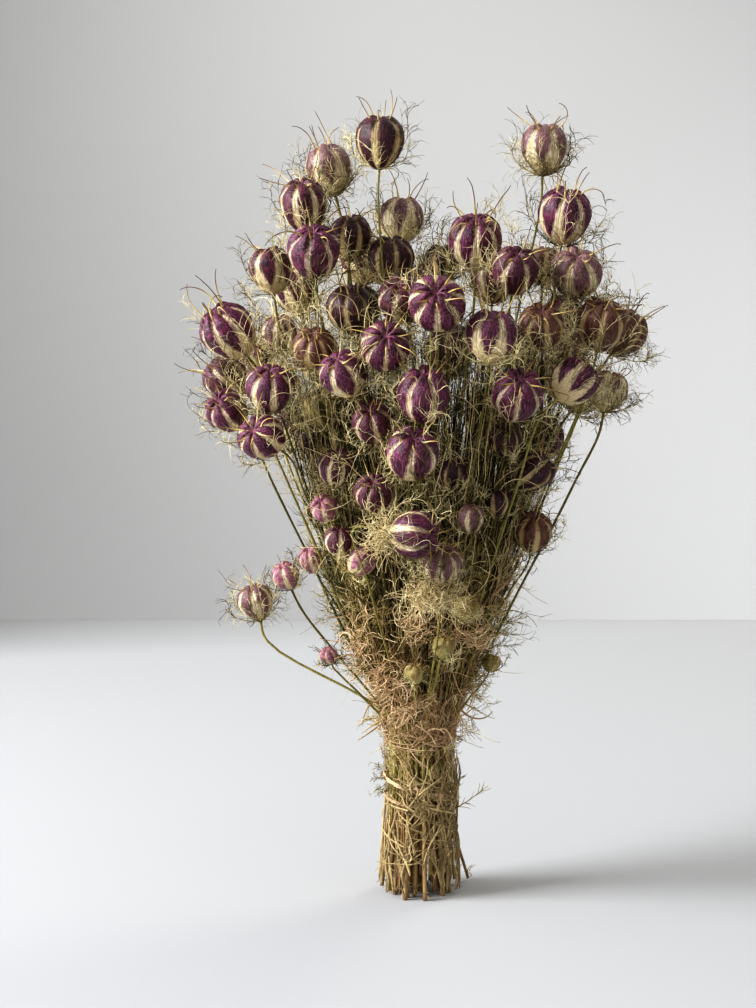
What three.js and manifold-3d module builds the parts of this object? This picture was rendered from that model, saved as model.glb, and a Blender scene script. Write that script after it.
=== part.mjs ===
// A dried bunch of love-in-a-mist (nigella) seed pods, tied with raffia and standing on its cut stems.
// Each cut stem is one solid: a stalk from its foot to its seed pod, with any side shoot that grew on it.
// Millimetres, +Z up. X runs left to right across the front of the bunch and Y runs from front to back.
// The origin is on the surface that the bunch stands on, under the middle of the bunch.
import * as THREE from "three";
import { mergeVertices } from "three/addons/utils/BufferGeometryUtils.js";
import Module from "manifold-3d";

const wasm = await Module();
wasm.setup();

// Driving dimensions.
const STALK_RADIUS = 0.95;
const SHOOT_RADIUS = 0.7;
const STALK_SIDES = 5;
const WAIST_RADIUS = 15; // the axes of the outermost stalks at the tie
const WAIST_GAP = 3.1; // least distance between two stalks' axes at the tie
const WAIST_LOW = 40; // the stalks run side by side between these two heights
const WAIST_HIGH = 82;
const FAN_HEIGHT = 28; // the stalks fan out as if from this height
const FOOT_SPREAD = 1.22; // how far the feet splay, as a share of the waist
const FOOT_CUTS = [0, 5, 0, 11, 2]; // the heights that the stalks are cut at, in turn
const STRAY_STEM = 38; // one stalk stands apart from the others
const STRAY_FOOT = [24, 17, 1];
const LEVELS = [120, 160, 200, 240, 280, 320]; // heights at which the stalks keep clear of each other
const STALK_CLEAR = 3.0; // least distance between two stalks' axes above the tie
const POD_CLEAR = 1.9; // least distance from a stalk's axis to another stem's pod
const NECK = 0.75; // the stalk runs straight into its pod over this share of the pod's diameter
const SHOOT_LENGTH = 38; // how far below its pod a side shoot leaves the stalk
const TIE_RADIUS = 0.8;
const TIE_TURNS = 3;
const TIE_PITCH = 4.6;
const TIE_LOW = 45;
const TIE_GAP = 0.8;

// A pod is [x, y, z of its centre, diameter, lean to the right, nod to the front] in mm and degrees.
// Each row is one cut stem: its own pod first, then the pods on its side shoots.
const STEMS = [
  [[-19, -10, 357, 22, 2, -3]],
  [[-43, 20, 344, 22, -14, 0]],
  [[-54, -14, 328, 22, -6, 10]],
  [[-49, -40, 308, 24, 0, 30]],
  [[-33, 4, 313, 19, 2, 5]],
  [[-9, 34, 320, 21, 6, -5]],
  [[-14, 0, 302, 21, 0, 5]],
  [[-70, 0, 298, 20, -8, 0]],
  [[57, 0, 354, 22, 3, 5]],
  [[66, -10, 323, 25, 6, 12]],
  [[25, -8, 311, 25, 0, 20]],
  [[42, -34, 299, 21, 6, 30]],
  [[71, -20, 297, 23, -3, 34]],
  [[60, 44, 298, 17, 4, -10]],
  [[11, 38, 300, 17, 0, -5]],
  [[-88, -26, 271, 25, -35, 15]],
  [[-67, 22, 266, 18, -5, 5], [-50, 9, 217, 16, -20, 5]],
  [[-91, 0, 248, 20, -50, 5]],
  [[-69, -42, 246, 22, 0, 22]],
  [[-89, -24, 234, 19, -35, 35]],
  [[-72, -48, 225, 21, -45, 48], [-51, -12, 163, 12, -20, 20]],
  [[-31, -28, 281, 24, -6, 12]],
  [[-49, -40, 264, 19, -5, 35]],
  [[-35, -56, 254, 21, -25, 30], [-28, -48, 168, 13, 40, 10]],
  [[-17, -64, 267, 22, 5, 52]],
  [[-22, -54, 232, 19, -15, 35], [-38, -46, 177, 13, 0, 20]],
  [[-39, -40, 210, 17, 5, 15], [-44, -38, 191, 13, -30, 40]],
  [[-22, -60, 201, 17, 0, 35]],
  [[0, -72, 246, 23, 0, 25], [14, -44, 208, 15, 6, 10]],
  [[-5, -74, 220, 23, 4, 35], [-3, -38, 114, 10, 0, 10]],
  [[-46, -14, 234, 17, -10, 5]],
  [[6, -68, 286, 25, -6, 58], [22, -56, 189, 12, 0, 10]],
  [[-9, -44, 286, 21, -12, 35]],
  [[30, -66, 272, 23, 5, 6]],
  [[54, -38, 274, 21, -3, 32]],
  [[82, -26, 274, 23, 8, 20], [52, -18, 177, 18, 5, 20]],
  [[96, 8, 268, 21, 32, 0]],
  [[68, -38, 249, 21, 45, -30], [51, -30, 207, 18, 50, 5]],
  [[87, -10, 242, 18, 14, -22], [34, -8, 113, 8, 20, 0]],
  [[42, -62, 245, 23, 8, 36], [38, -40, 223, 15, 0, 15], [34, -35, 194, 14, 0, 10]],
  [[57, 4, 249, 16, 0, 0]],
  [[70, 14, 261, 18, 5, -5]],
  [[-5, -80, 186, 22, 93, 15]],
  [[-63, -16, 156, 13, -22, 15]],
  [[-77, -22, 145, 17, -15, 10], [-43, -30, 121, 8, -20, 20]],
  [[9, -68, 169, 18, 2, 15], [20, -50, 147, 11, 40, 30], [10, -44, 128, 11, 10, 15]],
  [[-60, 55, 285, 22, -15, -15]],
  [[-28, 62, 300, 23, -5, -15]],
  [[6, 70, 286, 24, 0, -30]],
  [[37, 66, 290, 23, 5, -15]],
  [[70, 50, 271, 22, 20, -20]],
  [[-80, 38, 250, 21, -40, -20]],
  [[-50, 64, 252, 24, -20, -35], [-62, 50, 218, 19, -35, -20]],
  [[-18, 72, 258, 23, -5, -30], [-6, 58, 188, 18, 0, -30]],
  [[16, 77, 254, 25, 5, -30], [2, 72, 222, 20, 0, -30]],
  [[48, 72, 256, 22, 15, -30], [37, 40, 182, 16, 10, -20]],
  [[80, 38, 238, 22, 35, -15], [62, 54, 212, 19, 25, -35]],
  [[-30, 70, 222, 22, -15, -40], [-40, 46, 186, 16, -30, -20]],
  [[34, 72, 223, 22, 10, -35], [20, 50, 188, 16, 10, -30]],
];

// Half of a pod's outline, from its base to the hollow of its crown, for a pod 1 across.
const POD_OUTLINE = [[0, -0.5], [0.34, -0.36], [0.5, 0], [0.4, 0.32], [0.2, 0.46], [0, 0.38]];
const POD_SEGMENTS = 10;
const SMALL_POD_SEGMENTS = 6;
const SMALL_POD = 14; // pods under this diameter are plain buds
const POD_GROOVE = 0.93; // the body draws in between its five lobes
const CROWN_RING = 4; // the outline's point that carries the horns
const HORN_OUT = 1.6; // how far a horn's tip stands out, as a share of the crown
const HORN_UP = 0.26; // how far it rises above the crown, as a share of the diameter

const point = (x, y, z) => new THREE.Vector3(x, y, z);

// The way that a pod faces, from its base to its crown.
function axisOf([, , , , lean, nod]) {
  const side = THREE.MathUtils.degToRad(lean);
  const front = THREE.MathUtils.degToRad(nod);
  return point(Math.sin(side) * Math.cos(front), -Math.sin(front), Math.cos(side) * Math.cos(front));
}

const centreOf = ([x, y, z]) => point(x, y, z);
const baseOf = (pod) => centreOf(pod).addScaledVector(axisOf(pod), -0.46 * pod[3]);
const neckOf = (pod) => baseOf(pod).addScaledVector(axisOf(pod), -NECK * pod[3]);

// Pushes points of one level apart to the least distance, and in or out of the way of fixed discs.
function spread(spots, least, discs, limit, rounds) {
  for (let round = 0; round < rounds; round++) {
    spots.forEach((a, i) => {
      for (const b of spots.slice(i + 1)) {
        const [dx, dy] = [b.x - a.x, b.y - a.y];
        const apart = Math.hypot(dx, dy) || 1e-6;
        if (apart >= least) continue;
        const push = (0.5 * (least - apart)) / apart;
        a.x -= dx * push;
        a.y -= dy * push;
        b.x += dx * push;
        b.y += dy * push;
      }
      for (const disc of discs) {
        if (disc.stem === a.stem) continue;
        const [dx, dy] = [a.x - disc.x, a.y - disc.y];
        const apart = Math.hypot(dx, dy) || 1e-6;
        if (apart >= disc.radius) continue;
        a.x += (dx * (disc.radius - apart)) / apart;
        a.y += (dy * (disc.radius - apart)) / apart;
      }
      const out = Math.hypot(a.x, a.y);
      if (out > limit) {
        a.x *= limit / out;
        a.y *= limit / out;
      }
    });
  }
}

// Where each stalk passes through the tie: the fan of the pods above, packed into a round bundle.
const waist = STEMS.map(([pod], stem) => {
  const neck = neckOf(pod);
  const share = (0.5 * (WAIST_LOW + WAIST_HIGH) - FAN_HEIGHT) / (neck.z - FAN_HEIGHT);
  return { stem, x: neck.x * share, y: neck.y * share };
});
spread(waist, WAIST_GAP, [], WAIST_RADIUS, 300);

// Where each stalk passes each level: on a straight line to its pod's neck, moved clear of its neighbours.
const crossings = LEVELS.map((z) => {
  const spots = [];
  STEMS.forEach(([pod], stem) => {
    const neck = neckOf(pod);
    if (neck.z < z + 12) return;
    const share = (z - WAIST_HIGH) / (neck.z - WAIST_HIGH);
    spots.push({
      stem,
      x: THREE.MathUtils.lerp(waist[stem].x, neck.x, share),
      y: THREE.MathUtils.lerp(waist[stem].y, neck.y, share),
    });
  });
  const discs = [];
  STEMS.forEach((pods, stem) => {
    for (const [x, y, podZ, diameter] of pods) {
      const half = 0.5 * diameter + POD_CLEAR;
      const off = Math.abs(z - podZ);
      if (off < half) discs.push({ stem, x, y, radius: Math.sqrt(half * half - off * off) });
    }
  });
  spread(spots, STALK_CLEAR, discs, Infinity, 120);
  return new Map(spots.map((spot) => [spot.stem, point(spot.x, spot.y, z)]));
});

// The points that a stalk runs through, from its foot to its pod.
function stalkPoints(stem) {
  const { x, y } = waist[stem];
  const [pod] = STEMS[stem];
  const cut = FOOT_CUTS[stem % FOOT_CUTS.length];
  const foot = stem === STRAY_STEM ? STRAY_FOOT : [x * FOOT_SPREAD, y * FOOT_SPREAD, cut];
  const between = crossings.map((level) => level.get(stem)).filter(Boolean);
  return [
    point(...foot),
    point(x, y, WAIST_LOW),
    point(x, y, WAIST_HIGH),
    ...between,
    neckOf(pod),
    centreOf(pod).addScaledVector(axisOf(pod), -0.4 * pod[3]),
  ];
}

// A side shoot leaves its stalk on a slant and ends in its own pod.
function shootPoints(stalk, pod) {
  const end = centreOf(pod).addScaledVector(axisOf(pod), -0.4 * pod[3]);
  const neck = baseOf(pod).addScaledVector(axisOf(pod), -0.35 * pod[3]);
  const low = Math.max(neck.z - SHOOT_LENGTH, WAIST_HIGH + 4);
  const above = stalk.findIndex((spot) => spot.z > low);
  const [below, next] = [stalk[above - 1], stalk[above]];
  const start = below.clone().lerp(next, (low - below.z) / (next.z - below.z));
  return [start, start.clone().lerp(neck, 0.55), neck, end];
}

function manifoldOf(geometry) {
  geometry.deleteAttribute("normal");
  geometry.deleteAttribute("uv");
  const merged = mergeVertices(geometry, 1e-4);
  const vertProperties = new Float32Array(merged.attributes.position.array);
  return new wasm.Manifold(
    new wasm.Mesh({ numProp: 3, vertProperties, triVerts: new Uint32Array(merged.index.array) }),
  );
}

function geometryOf(solid) {
  const mesh = solid.getMesh();
  const geometry = new THREE.BufferGeometry();
  geometry.setAttribute("position", new THREE.BufferAttribute(mesh.vertProperties, 3));
  geometry.setIndex(new THREE.BufferAttribute(mesh.triVerts, 1));
  geometry.computeVertexNormals();
  return geometry;
}

// A smooth path whose sections fall on its own points, so that it keeps clear of its neighbours there.
class StalkPath extends THREE.CatmullRomCurve3 {
  constructor(points) {
    super(points, false, "centripetal");
  }
  getPointAt(share, target) {
    return this.getPoint(share, target);
  }
  getTangentAt(share, target) {
    return this.getTangent(share, target);
  }
}

function rod(path, radius) {
  const corners = Array.from({ length: STALK_SIDES }, (_, k) => {
    const turn = (2 * Math.PI * k) / STALK_SIDES;
    return new THREE.Vector2(radius * Math.cos(turn), radius * Math.sin(turn));
  });
  const steps = path.points.length - 1;
  return new THREE.ExtrudeGeometry(new THREE.Shape(corners), { steps, extrudePath: path, bevelEnabled: false });
}

// A pod: a lobed, inflated body with a hollow crown ringed by five horns. A small one is a plain bud.
function podGeometry(pod) {
  const diameter = pod[3];
  const small = diameter < SMALL_POD;
  const segments = small ? SMALL_POD_SEGMENTS : POD_SEGMENTS;
  const outline = POD_OUTLINE.map(([r, h]) => new THREE.Vector2(r * diameter, h * diameter));
  const geometry = new THREE.LatheGeometry(outline, segments);
  const at = geometry.attributes.position;
  for (let k = 0; !small && k <= segments; k++) {
    for (let ring = 1; ring < POD_OUTLINE.length - 1; ring++) {
      const i = k * POD_OUTLINE.length + ring;
      const lobe = k % 2 ? POD_GROOVE : 1;
      const horn = ring === CROWN_RING && k % 2 === 0;
      const out = horn ? HORN_OUT : lobe;
      at.setXYZ(i, at.getX(i) * out, at.getY(i) + (horn ? HORN_UP * diameter : 0), at.getZ(i) * out);
    }
  }
  const turn = new THREE.Quaternion().setFromUnitVectors(point(0, 1, 0), axisOf(pod));
  return geometry.applyQuaternion(turn).translate(pod[0], pod[1], pod[2]);
}

// One cut stem as a single solid.
function stemSolid(stem) {
  const [main, ...shoots] = STEMS[stem];
  const stalk = new StalkPath(stalkPoints(stem));
  let solid = manifoldOf(rod(stalk, STALK_RADIUS)).add(manifoldOf(podGeometry(main)));
  for (const pod of shoots) {
    const shoot = new StalkPath(shootPoints(stalk.points, pod));
    solid = solid.add(manifoldOf(rod(shoot, SHOOT_RADIUS))).add(manifoldOf(podGeometry(pod)));
  }
  return solid;
}

// Raffia wound round the waist in a rising coil.
function tieGeometry() {
  const radius = WAIST_RADIUS + STALK_RADIUS + TIE_GAP + TIE_RADIUS;
  const points = Array.from({ length: TIE_TURNS * 16 + 1 }, (_, k) => {
    const turn = (2 * Math.PI * k) / 16;
    return point(radius * Math.cos(turn), radius * Math.sin(turn), TIE_LOW + (TIE_PITCH * turn) / (2 * Math.PI));
  });
  const coil = new THREE.CatmullRomCurve3(points);
  const corners = Array.from({ length: 6 }, (_, k) => {
    const turn = (Math.PI * k) / 3;
    return new THREE.Vector2(TIE_RADIUS * Math.cos(turn), TIE_RADIUS * Math.sin(turn));
  });
  return new THREE.ExtrudeGeometry(new THREE.Shape(corners), {
    steps: TIE_TURNS * 16,
    extrudePath: coil,
    bevelEnabled: false,
  });
}

// Most stems carry plum-coloured pods; some are pale, and some have dried to tan.
const PALE_STEMS = [2, 6, 9, 13, 17, 39, 41, 42, 45, 46];
const TAN_STEMS = [14, 23, 35, 36, 37];
const matt = (color, roughness) => new THREE.MeshStandardMaterial({ color, roughness, metalness: 0 });
const plumMaterial = matt(0x5d3550, 0.6);
const paleMaterial = matt(0xb59a83, 0.7);
const tanMaterial = matt(0x8c6648, 0.75);
const raffiaMaterial = matt(0xb99a6b, 0.9);

function stemMaterial(number) {
  if (PALE_STEMS.includes(number)) return paleMaterial;
  return TAN_STEMS.includes(number) ? tanMaterial : plumMaterial;
}

const bunch = new THREE.Group();
STEMS.forEach((_, stem) => {
  const mesh = new THREE.Mesh(geometryOf(stemSolid(stem)), stemMaterial(stem + 1));
  mesh.name = `seed_stem_${String(stem + 1).padStart(2, "0")}`;
  bunch.add(mesh);
});
const tie = new THREE.Mesh(tieGeometry(), raffiaMaterial);
tie.name = "raffia_tie";
bunch.add(tie);

export default bunch;
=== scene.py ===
"""A dried bunch of love-in-a-mist (nigella) seed pods, tied with raffia and standing on its cut stems.

The bunch's lengths are millimetres, and become metres when a mesh is made; the studio's are metres. X runs
left to right across the front of the bunch, Y from front to back, and Z up from where it stands.
"""

import math

import bpy
import numpy as np
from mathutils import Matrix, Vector


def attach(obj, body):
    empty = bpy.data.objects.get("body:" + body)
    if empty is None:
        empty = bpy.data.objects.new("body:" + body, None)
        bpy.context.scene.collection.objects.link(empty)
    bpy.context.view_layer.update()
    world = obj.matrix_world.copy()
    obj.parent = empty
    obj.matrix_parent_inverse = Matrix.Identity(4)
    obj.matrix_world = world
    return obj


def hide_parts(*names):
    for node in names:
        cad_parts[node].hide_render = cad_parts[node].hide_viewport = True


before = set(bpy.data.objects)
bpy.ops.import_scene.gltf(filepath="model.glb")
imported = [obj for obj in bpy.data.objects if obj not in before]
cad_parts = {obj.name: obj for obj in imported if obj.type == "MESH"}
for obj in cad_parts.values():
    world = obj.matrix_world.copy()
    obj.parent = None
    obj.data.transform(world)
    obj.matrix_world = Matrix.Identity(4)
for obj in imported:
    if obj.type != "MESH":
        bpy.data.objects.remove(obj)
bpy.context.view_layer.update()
MM = 0.001
SCENE = bpy.context.scene
UP = np.array([0.0, 0.0, 1.0])
TURN = 2 * math.pi

# The stems' driving dimensions, which the CAD solids share.
WAIST_RADIUS = 15
WAIST_GAP = 3.1
WAIST_LOW = 40
WAIST_HIGH = 82
FAN_HEIGHT = 28
FOOT_SPREAD = 1.22
FOOT_CUTS = [0, 5, 0, 11, 2]
STRAY_STEM = 38
STRAY_FOOT = (24, 17, 1)
LEVELS = [120, 160, 200, 240, 280, 320]
STALK_CLEAR = 3.0
POD_CLEAR = 1.9
LEVEL_MARGIN = 12
WAIST_ROUNDS = 300
LEVEL_ROUNDS = 120
SHOOT_LENGTH = 38
SHOOT_ABOVE_TIE = 4
SHOOT_BEND = 0.55
# Places on a pod's axis, as shares of its diameter above its centre.
POD_BASE = -0.46
STALK_NECK = POD_BASE - 0.75
SHOOT_NECK = -0.81
STALK_END = -0.4
SMALL_POD = 14

# A pod is (x, y, z of its centre, diameter, lean to the right, nod to the front, tone) in mm and degrees.
# Each row is one cut stem: its own pod first, then the pods on its side shoots.
# Pods of the dark tone include ones that sit in shadow, so that tone partly paints shade.
STEMS = [
    [(-19, -10, 357, 22, 2, -3, "dark")],
    [(-43, 20, 344, 22, -14, 0, "pale")],
    [(-54, -14, 328, 22, -6, 10, "plum")],
    [(-49, -40, 308, 24, 0, 30, "vivid")],
    [(-33, 4, 313, 19, 2, 5, "dark")],
    [(-9, 34, 320, 21, 6, -5, "pale")],
    [(-14, 0, 302, 21, 0, 5, "dark")],
    [(-70, 0, 298, 20, -8, 0, "plum")],
    [(57, 0, 354, 22, 3, 5, "pale")],
    [(66, -10, 323, 25, 6, 12, "vivid")],
    [(25, -8, 311, 25, 0, 20, "vivid")],
    [(42, -34, 299, 21, 6, 30, "plum")],
    [(71, -20, 297, 23, -3, 34, "pale")],
    [(60, 44, 298, 17, 4, -10, "tan")],
    [(11, 38, 300, 17, 0, -5, "dark")],
    [(-88, -26, 271, 25, -35, 15, "vivid")],
    [(-67, 22, 266, 18, -5, 5, "pale"), (-50, 9, 217, 16, -20, 5, "dark")],
    [(-91, 0, 248, 20, -50, 5, "plum")],
    [(-69, -42, 246, 22, 0, 22, "vivid")],
    [(-89, -24, 234, 19, -35, 35, "vivid")],
    [(-72, -48, 225, 21, -45, 48, "vivid"), (-51, -12, 163, 12, -20, 20, "pink")],
    [(-31, -28, 281, 24, -6, 12, "dark")],
    [(-49, -40, 264, 19, -5, 35, "tan")],
    [(-35, -56, 254, 21, -25, 30, "vivid"), (-28, -48, 168, 13, 40, 10, "pink")],
    [(-17, -64, 267, 22, 5, 52, "vivid")],
    [(-22, -54, 232, 19, -15, 35, "plum"), (-38, -46, 177, 13, 0, 20, "plum")],
    [(-39, -40, 210, 17, 5, 15, "plum"), (-44, -38, 191, 13, -30, 40, "pink")],
    [(-22, -60, 201, 17, 0, 35, "plum")],
    [(0, -72, 246, 23, 0, 25, "vivid"), (14, -44, 208, 15, 6, 10, "dark")],
    [(-5, -74, 220, 23, 4, 35, "vivid"), (-3, -38, 114, 10, 0, 10, "green")],
    [(-46, -14, 234, 17, -10, 5, "green")],
    [(6, -68, 286, 25, -6, 58, "vivid"), (22, -56, 189, 12, 0, 10, "pale")],
    [(-9, -44, 286, 21, -12, 35, "plum")],
    [(30, -66, 272, 23, 5, 6, "vivid")],
    [(54, -38, 274, 21, -3, 32, "tan")],
    [(82, -26, 274, 23, 8, 20, "tan"), (52, -18, 177, 18, 5, 20, "tan")],
    [(96, 8, 268, 21, 32, 0, "tan")],
    [(68, -38, 249, 21, 45, -30, "vivid"), (51, -30, 207, 18, 50, 5, "dark")],
    [(87, -10, 242, 18, 14, -22, "pale"), (34, -8, 113, 8, 20, 0, "green")],
    [
        (42, -62, 245, 23, 8, 36, "vivid"),
        (38, -40, 223, 15, 0, 15, "dark"),
        (34, -35, 194, 14, 0, 10, "dark"),
    ],
    [(57, 4, 249, 16, 0, 0, "pale")],
    [(70, 14, 261, 18, 5, -5, "pale")],
    [(-5, -80, 186, 22, 93, 15, "vivid")],
    [(-63, -16, 156, 13, -22, 15, "pink")],
    [(-77, -22, 145, 17, -15, 10, "pale"), (-43, -30, 121, 8, -20, 20, "pink")],
    [
        (9, -68, 169, 18, 2, 15, "pale"),
        (20, -50, 147, 11, 40, 30, "green"),
        (10, -44, 128, 11, 10, 15, "green"),
    ],
    [(-60, 55, 285, 22, -15, -15, "plum")],
    [(-28, 62, 300, 23, -5, -15, "vivid")],
    [(6, 70, 286, 24, 0, -30, "plum")],
    [(37, 66, 290, 23, 5, -15, "vivid")],
    [(70, 50, 271, 22, 20, -20, "plum")],
    [(-80, 38, 250, 21, -40, -20, "vivid")],
    [(-50, 64, 252, 24, -20, -35, "plum"), (-62, 50, 218, 19, -35, -20, "pale")],
    [(-18, 72, 258, 23, -5, -30, "vivid"), (-6, 58, 188, 18, 0, -30, "dark")],
    [(16, 77, 254, 25, 5, -30, "plum"), (2, 72, 222, 20, 0, -30, "vivid")],
    [(48, 72, 256, 22, 15, -30, "vivid"), (37, 40, 182, 16, 10, -20, "plum")],
    [(80, 38, 238, 22, 35, -15, "pale"), (62, 54, 212, 19, 25, -35, "plum")],
    [(-30, 70, 222, 22, -15, -40, "vivid"), (-40, 46, 186, 16, -30, -20, "pink")],
    [(34, 72, 223, 22, 10, -35, "plum"), (20, 50, 188, 16, 10, -30, "plum")],
]


def axis_of(pod):
    """The way that a pod faces, from its base to its crown."""
    side, front = math.radians(pod[4]), math.radians(pod[5])
    return np.array([math.sin(side) * math.cos(front), -math.sin(front), math.cos(side) * math.cos(front)])


def along_pod(pod, share):
    """A point on a pod's axis, a share of its diameter above its centre."""
    return np.array(pod[:3], float) + axis_of(pod) * share * pod[3]


def neck_of(pod):
    return along_pod(pod, STALK_NECK)


def spread(spots, least, discs, limit, rounds):
    """Pushes [stem, x, y] spots apart to the least distance, out of discs, and inside a limit."""
    for _ in range(rounds):
        for i, a in enumerate(spots):
            for b in spots[i + 1 :]:
                dx, dy = b[1] - a[1], b[2] - a[2]
                if abs(dx) >= least or abs(dy) >= least:
                    continue
                apart = math.hypot(dx, dy) or 1e-6
                if apart >= least:
                    continue
                push = 0.5 * (least - apart) / apart
                a[1] -= dx * push
                a[2] -= dy * push
                b[1] += dx * push
                b[2] += dy * push
            for stem, x, y, radius in discs:
                dx, dy = a[1] - x, a[2] - y
                if stem == a[0] or abs(dx) >= radius or abs(dy) >= radius:
                    continue
                apart = math.hypot(dx, dy) or 1e-6
                if apart < radius:
                    a[1] += dx * (radius - apart) / apart
                    a[2] += dy * (radius - apart) / apart
            out = math.hypot(a[1], a[2])
            if out > limit:
                a[1] *= limit / out
                a[2] *= limit / out


def waist_spots():
    """Where each stalk passes through the tie: the fan of the pods above, packed into a round bundle."""
    spots = []
    for stem, pods in enumerate(STEMS):
        neck = neck_of(pods[0])
        share = (0.5 * (WAIST_LOW + WAIST_HIGH) - FAN_HEIGHT) / (neck[2] - FAN_HEIGHT)
        spots.append([stem, neck[0] * share, neck[1] * share])
    spread(spots, WAIST_GAP, [], WAIST_RADIUS, WAIST_ROUNDS)
    return spots


def level_spots(waist, z):
    """Where each stalk passes one level, clear of its neighbours and of other stems' pods."""
    spots, discs = [], []
    for stem, pods in enumerate(STEMS):
        neck = neck_of(pods[0])
        if neck[2] >= z + LEVEL_MARGIN:
            share = (z - WAIST_HIGH) / (neck[2] - WAIST_HIGH)
            x, y = waist[stem][1:]
            spots.append([stem, x + (neck[0] - x) * share, y + (neck[1] - y) * share])
        for x, y, pod_z, diameter, *_ in pods:
            half, off = 0.5 * diameter + POD_CLEAR, abs(z - pod_z)
            if off < half:
                discs.append((stem, x, y, math.sqrt(half * half - off * off)))
    spread(spots, STALK_CLEAR, discs, math.inf, LEVEL_ROUNDS)
    return {stem: (x, y, z) for stem, x, y in spots}


def stalk_routes():
    """The points that each stalk runs through, from its foot to its pod."""
    waist = waist_spots()
    levels = [level_spots(waist, z) for z in LEVELS]
    routes = []
    for stem, pods in enumerate(STEMS):
        x, y = waist[stem][1:]
        cut = FOOT_CUTS[stem % len(FOOT_CUTS)]
        foot = STRAY_FOOT if stem == STRAY_STEM else (x * FOOT_SPREAD, y * FOOT_SPREAD, cut)
        route = [foot, (x, y, WAIST_LOW), (x, y, WAIST_HIGH)]
        route += [level[stem] for level in levels if stem in level]
        route += [neck_of(pods[0]), along_pod(pods[0], STALK_END)]
        routes.append(np.array(route, float))
    return routes


def shoot_route(stalk, pod):
    """A side shoot leaves its stalk on a slant and ends in its own pod."""
    neck = along_pod(pod, SHOOT_NECK)
    low = max(neck[2] - SHOOT_LENGTH, WAIST_HIGH + SHOOT_ABOVE_TIE)
    above = next(i for i, spot in enumerate(stalk) if spot[2] > low)
    below, upper = stalk[above - 1], stalk[above]
    start = below + (upper - below) * (low - below[2]) / (upper[2] - below[2])
    return np.array([start, start + (neck - start) * SHOOT_BEND, neck, along_pod(pod, STALK_END)])


def unit(v):
    return v / np.maximum(np.linalg.norm(v, axis=-1, keepdims=True), 1e-9)


def on_ring(spin, height=0.0, wide=1.0, deep=1.0):
    """Points round the Z axis at these angles."""
    return np.stack([wide * np.cos(spin), deep * np.sin(spin), height + np.zeros_like(spin)], -1)


def tube_faces(rings, sides):
    """The four-sided faces between rings of points, each with this many sides."""
    row, side = np.arange(rings - 1)[:, None] * sides, np.arange(sides)[None]
    after = (side + 1) % sides
    return np.stack([row + side, row + after, row + sides + after, row + sides + side], -1).reshape(-1, 4)


def between(a, b, start, end, t):
    return (end - t) / (end - start) * a + (t - start) / (end - start) * b


def smooth_path(route, per_span):
    """A centripetal Catmull-Rom path through a route's points."""
    route = np.asarray(route, float)
    ends = np.vstack([2 * route[0] - route[1], route, 2 * route[-1] - route[-2]])
    path = []
    for p0, p1, p2, p3 in zip(ends, ends[1:], ends[2:], ends[3:]):
        t1 = max(np.linalg.norm(p1 - p0), 1e-3) ** 0.5
        t2 = t1 + max(np.linalg.norm(p2 - p1), 1e-3) ** 0.5
        t3 = t2 + max(np.linalg.norm(p3 - p2), 1e-3) ** 0.5
        for t in np.linspace(t1, t2, per_span, endpoint=False):
            a1, a2 = between(p0, p1, 0, t1, t), between(p1, p2, t1, t2, t)
            a3 = between(p2, p3, t2, t3, t)
            b1, b2 = between(a1, a2, 0, t2, t), between(a2, a3, t1, t3, t)
            path.append(between(b1, b2, t1, t2, t))
    return np.array(path + [route[-1]])


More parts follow.
